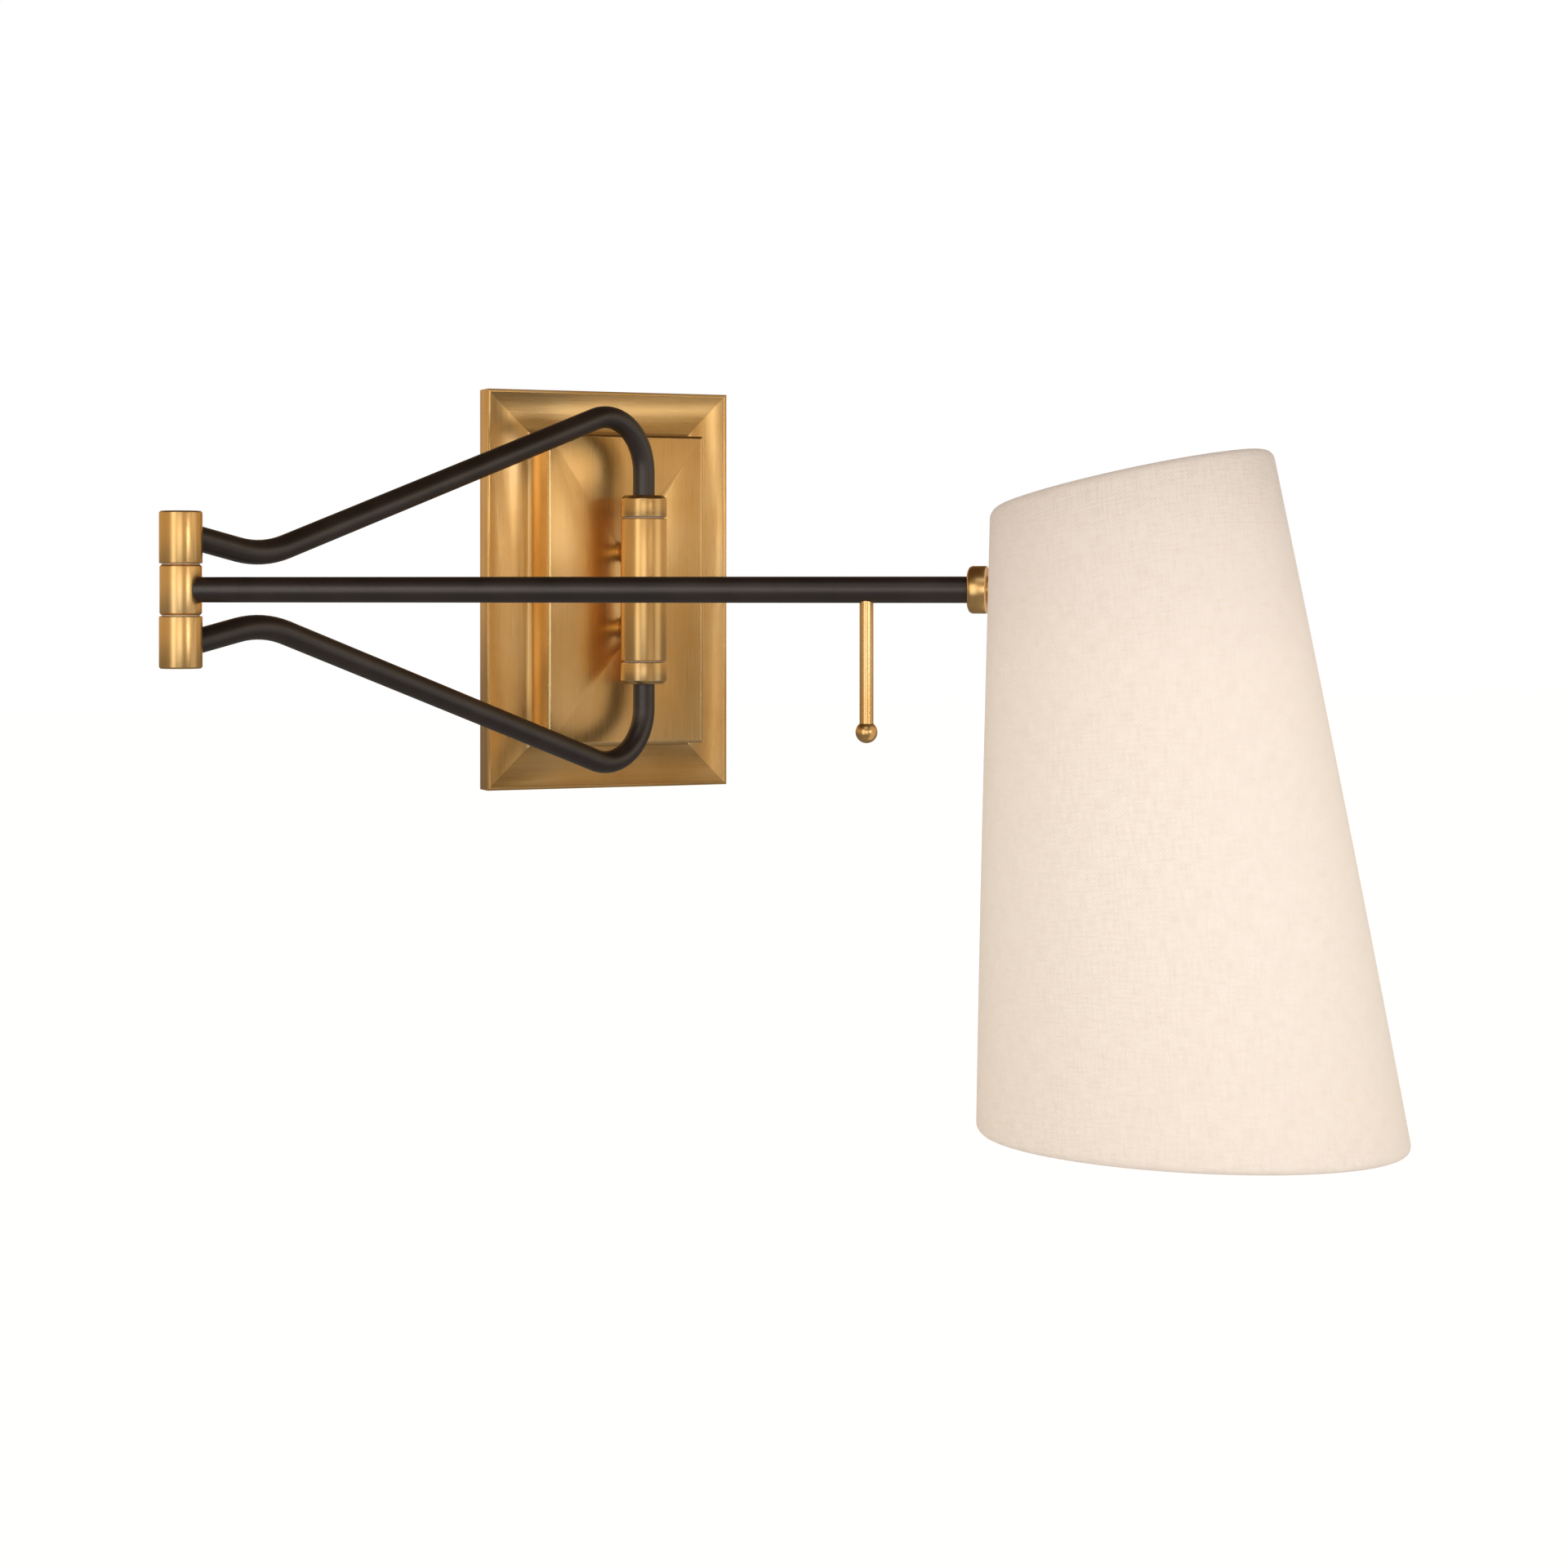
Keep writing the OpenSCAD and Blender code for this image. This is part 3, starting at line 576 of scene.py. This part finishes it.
shade = {
    "lean": -2.1,             # how far the head hangs round the arm at rest, in degrees
    "top": {"out": 352.6 * mm, "up": 37.8 * mm, "radius": 50.75 * mm, "tilt": 12.0},
    "bottom": {"out": 374.3 * mm, "up": -191.4 * mm, "radius": 75.3 * mm, "tilt": -1.6},
    "cloth": 1.0 * mm,
    "glue": 0.2 * mm,
    "lining": 0.8 * mm,
    "hemPast": 1.2 * mm,      # how far the rolled edges stand past the openings
    "hemRoll": 3.55 * mm,     # outside radius of the roll round each wire
    "hemTail": [(11, 3.1), (9, 3.2), (7.4, 4.2), (5.8, 5.6), (4.2, 6.7), (3.2, 7.05)],
    "around": 160,
    "bands": 44,
    "wireHole": 5.05 * mm,    # where the arm's stem passes through
    "liningInset": 1.5 * mm,  # how far the lining stops short of the openings
}
headFrame = headFrame @ Matrix.Rotation(math.radians(shade["lean"]), 4, "X")
wallHeight = shade["top"]["up"] - shade["bottom"]["up"]
wallFlare = shade["bottom"]["radius"] - shade["top"]["radius"]


def shadeAt(share, key):
    return shade["top"][key] + (shade["bottom"][key] - shade["top"][key]) * share


def sectionPoint(inward, inset, fromBottom=False):
    # inward is the depth inside the opening, inset the distance in from the wall's outer face
    share = inward / wallHeight
    share = 1 - share if fromBottom else share
    return shadeAt(share, "radius") - inset, shadeAt(share, "up")


def rolledHem(fromBottom=False):
    # the cloth's free end glued to the lining, then its turn over the wire, ending on the outside
    points = [
        sectionPoint(inward * mm, inset * mm, fromBottom) for inward, inset in shade["hemTail"]]
    radius = shade["hemRoll"]
    for i in range(13):
        angle = math.pi * i / 12
        inward = radius - shade["hemPast"] - radius * math.sin(angle)
        points.append(sectionPoint(inward, radius * (1 + math.cos(angle)), fromBottom))
    return points


def spinSection(points, closed):
    bm = bmesh.new()
    run = bm.verts.layers.float.new("run")       # distance along the cut cloth, for its map
    verts = []
    travelled = 0
    for radius, height in points:
        vert = bm.verts.new((radius, 0, height))
        if verts:
            travelled += (vert.co - verts[-1].co).length
        vert[run] = travelled
        verts.append(vert)
    pairs = zip(verts, verts[1:] + verts[:1]) if closed else zip(verts, verts[1:])
    edges = [bm.edges.new(pair) for pair in pairs]
    bmesh.ops.spin(
        bm, geom=verts + edges, cent=(0, 0, 0), axis=(0, 0, 1), angle=2 * math.pi,
        steps=shade["around"], use_merge=True)
    bmesh.ops.remove_doubles(bm, verts=bm.verts, dist=0.002 * mm)
    bmesh.ops.recalc_face_normals(bm, faces=bm.faces)
    return bm


def layClothMap(bm, hemRun):
    # unrolls the cone to the flat cloth it was cut from, in metres, and keeps that as its map
    uv = bm.loops.layers.uv.new("cloth")
    run = bm.verts.layers.float["run"]
    slope = math.atan(wallFlare / wallHeight)
    for face in bm.faces:
        middle = face.calc_center_median()
        facing = math.atan2(middle.x, -middle.y)
        for loop in face.loops:
            at = loop.vert.co
            turn = math.atan2(at.x, -at.y)
            turn += 2 * math.pi * round((facing - turn) / (2 * math.pi))
            turn *= math.sin(slope)
            reach = shade["top"]["radius"] / math.sin(slope) + loop.vert[run] - hemRun
            loop[uv].uv = (reach * math.sin(turn), -reach * math.cos(turn))


def leanShade(bm):
    # leans each level of the upright cone to the slant of the openings, and hangs it on the arm
    for vert in bm.verts:
        share = min(max((shade["top"]["up"] - vert.co.z) / wallHeight, 0), 1)
        level = shadeAt(share, "up")
        tilt = math.radians(shadeAt(share, "tilt"))
        x, lift = vert.co.x, vert.co.z - level
        vert.co = headFrame @ Vector((
            shadeAt(share, "out") + x * math.cos(tilt) - lift * math.sin(tilt),
            vert.co.y,
            level + x * math.sin(tilt) + lift * math.cos(tilt)))


def cutWireHole(piece):
    # opens the hole that the arm's stem passes through, after any thickness
    bm = bmesh.new()
    made = bmesh.ops.create_cone(
        bm, cap_ends=True, segments=32, depth=60 * mm,
        radius1=shade["wireHole"], radius2=shade["wireHole"])
    nearWall = Matrix.Translation((shade["top"]["out"] - 50 * mm, 0, 0))
    place = headFrame @ nearWall @ Matrix.Rotation(math.radians(90), 4, "Y")
    bmesh.ops.transform(bm, matrix=place, verts=made["verts"])
    drill = bpy.data.meshes.new("drill")
    bm.to_mesh(drill)
    bm.free()
    tool = bpy.data.objects.new("drill", drill)
    bpy.context.scene.collection.objects.link(tool)
    hole = piece.modifiers.new("hole", "BOOLEAN")
    hole.operation = "DIFFERENCE"
    hole.solver = "EXACT"
    hole.object = tool
    ready = piece.evaluated_get(bpy.context.evaluated_depsgraph_get())
    opened = bpy.data.meshes.new_from_object(ready)
    piece.modifiers.clear()
    old = piece.data
    piece.data = opened
    bpy.data.meshes.remove(old)
    bpy.data.objects.remove(tool)


def finishMesh(bm, name, material, sharpAngle=60):
    for face in bm.faces:
        face.smooth = True
    mesh = bpy.data.meshes.new(name)
    bm.to_mesh(mesh)
    bm.free()
    mesh.materials.append(materials[material])
    mesh.set_sharp_from_angle(angle=math.radians(sharpAngle))
    return mesh


def makeLinen():
    count = shade["bands"]
    topHem, bottomHem = rolledHem(), rolledHem(fromBottom=True)
    start = (shade["hemRoll"] - shade["hemPast"]) / wallHeight
    wall = []
    for i in range(1, count):
        share = start + (1 - 2 * start) * i / count
        wall.append((shadeAt(share, "radius"), shadeAt(share, "up")))
    hemRun = sum(math.dist(first, second) for first, second in zip(topHem, topHem[1:]))
    bm = spinSection(topHem + wall + bottomHem[::-1], closed=False)
    middle = max(bm.faces, key=lambda face: face.calc_center_median().y)
    if middle.normal.y < 0:
        bmesh.ops.reverse_faces(bm, faces=bm.faces)
    layClothMap(bm, hemRun - start * wallHeight)
    leanShade(bm)
    mesh = finishMesh(bm, "shadeLinen", "linen", 80)
    piece = show("shadeLinen", mesh, "shade_head", "linen", "shade_linen")
    wallThickness = piece.modifiers.new("thickness", "SOLIDIFY")
    wallThickness.thickness = shade["cloth"]
    wallThickness.offset = -1
    cutWireHole(piece)
    return piece, hemRun


def makeLining():
    outer = shade["cloth"] + shade["glue"]
    inner = outer + shade["lining"]
    deep = shade["liningInset"]
    count = shade["bands"]
    levels = [deep + (wallHeight - 2 * deep) * i / count for i in range(count + 1)]
    section = [sectionPoint(level, outer) for level in levels]
    section += [sectionPoint(level, inner) for level in reversed(levels)]
    bm = spinSection(section, closed=True)
    leanShade(bm)
    mesh = finishMesh(bm, "shadeLining", "lining")
    cutWireHole(show("shadeLining", mesh, "shade_head", "shade_lining", "shade_liner"))


linen, hemRun = makeLinen()
makeLining()
print("shade sewn")


bulb = {
    "radius": 30 * mm,
    "globe": -114.2 * mm,       # middle of the globe, down the lamp's axis
    "neck": -60.2 * mm,
    "neckRadius": 12.8 * mm,
    "rim": 1.2 * mm,            # how far the glass turns in at the cap
    "tilt": 5.4085,             # of the lamp's axis, in degrees
    "axis": 356.1788 * mm,      # how far out along the arm that axis crosses it
}


def makeBulb():
    bm = bmesh.new()
    points = []
    for i in range(23):
        angle = math.radians(-90 + i * 5)
        height = bulb["globe"] + bulb["radius"] * math.sin(angle)
        points.append((bulb["radius"] * math.cos(angle), height))
    shoulder = points[-1]
    for i in range(1, 7):                            # the neck sweeps in to the cap
        share = i / 6
        ease = share * share * (3 - 2 * share) * 0.35 + share * 0.65
        points.append((
            shoulder[0] + (bulb["neckRadius"] - shoulder[0]) * ease,
            shoulder[1] + (bulb["neck"] - shoulder[1]) * share))
    points.append((bulb["neckRadius"] - bulb["rim"], bulb["neck"]))
    verts = [bm.verts.new((radius, 0, height)) for radius, height in points]
    edges = [bm.edges.new(pair) for pair in zip(verts, verts[1:])]
    bmesh.ops.spin(
        bm, geom=verts + edges, cent=(0, 0, 0), axis=(0, 0, 1), angle=2 * math.pi,
        steps=64, use_merge=True)
    bmesh.ops.remove_doubles(bm, verts=bm.verts, dist=0.01 * mm)
    rim = [edge for edge in bm.edges if edge.is_boundary]
    bmesh.ops.edgeloop_fill(bm, edges=rim)
    bmesh.ops.recalc_face_normals(bm, faces=bm.faces)
    place = (
        headFrame
        @ Matrix.Translation((bulb["axis"], 0, 0))
        @ Matrix.Rotation(math.radians(-bulb["tilt"]), 4, "Y")
    )
    bmesh.ops.transform(bm, matrix=place, verts=bm.verts)
    mesh = finishMesh(bm, "bulbGlass", "glass", 50)
    show("bulbGlass", mesh, "shade_head", "bulb_glass", "bulb_glass")


makeBulb()
print("bulb fitted")
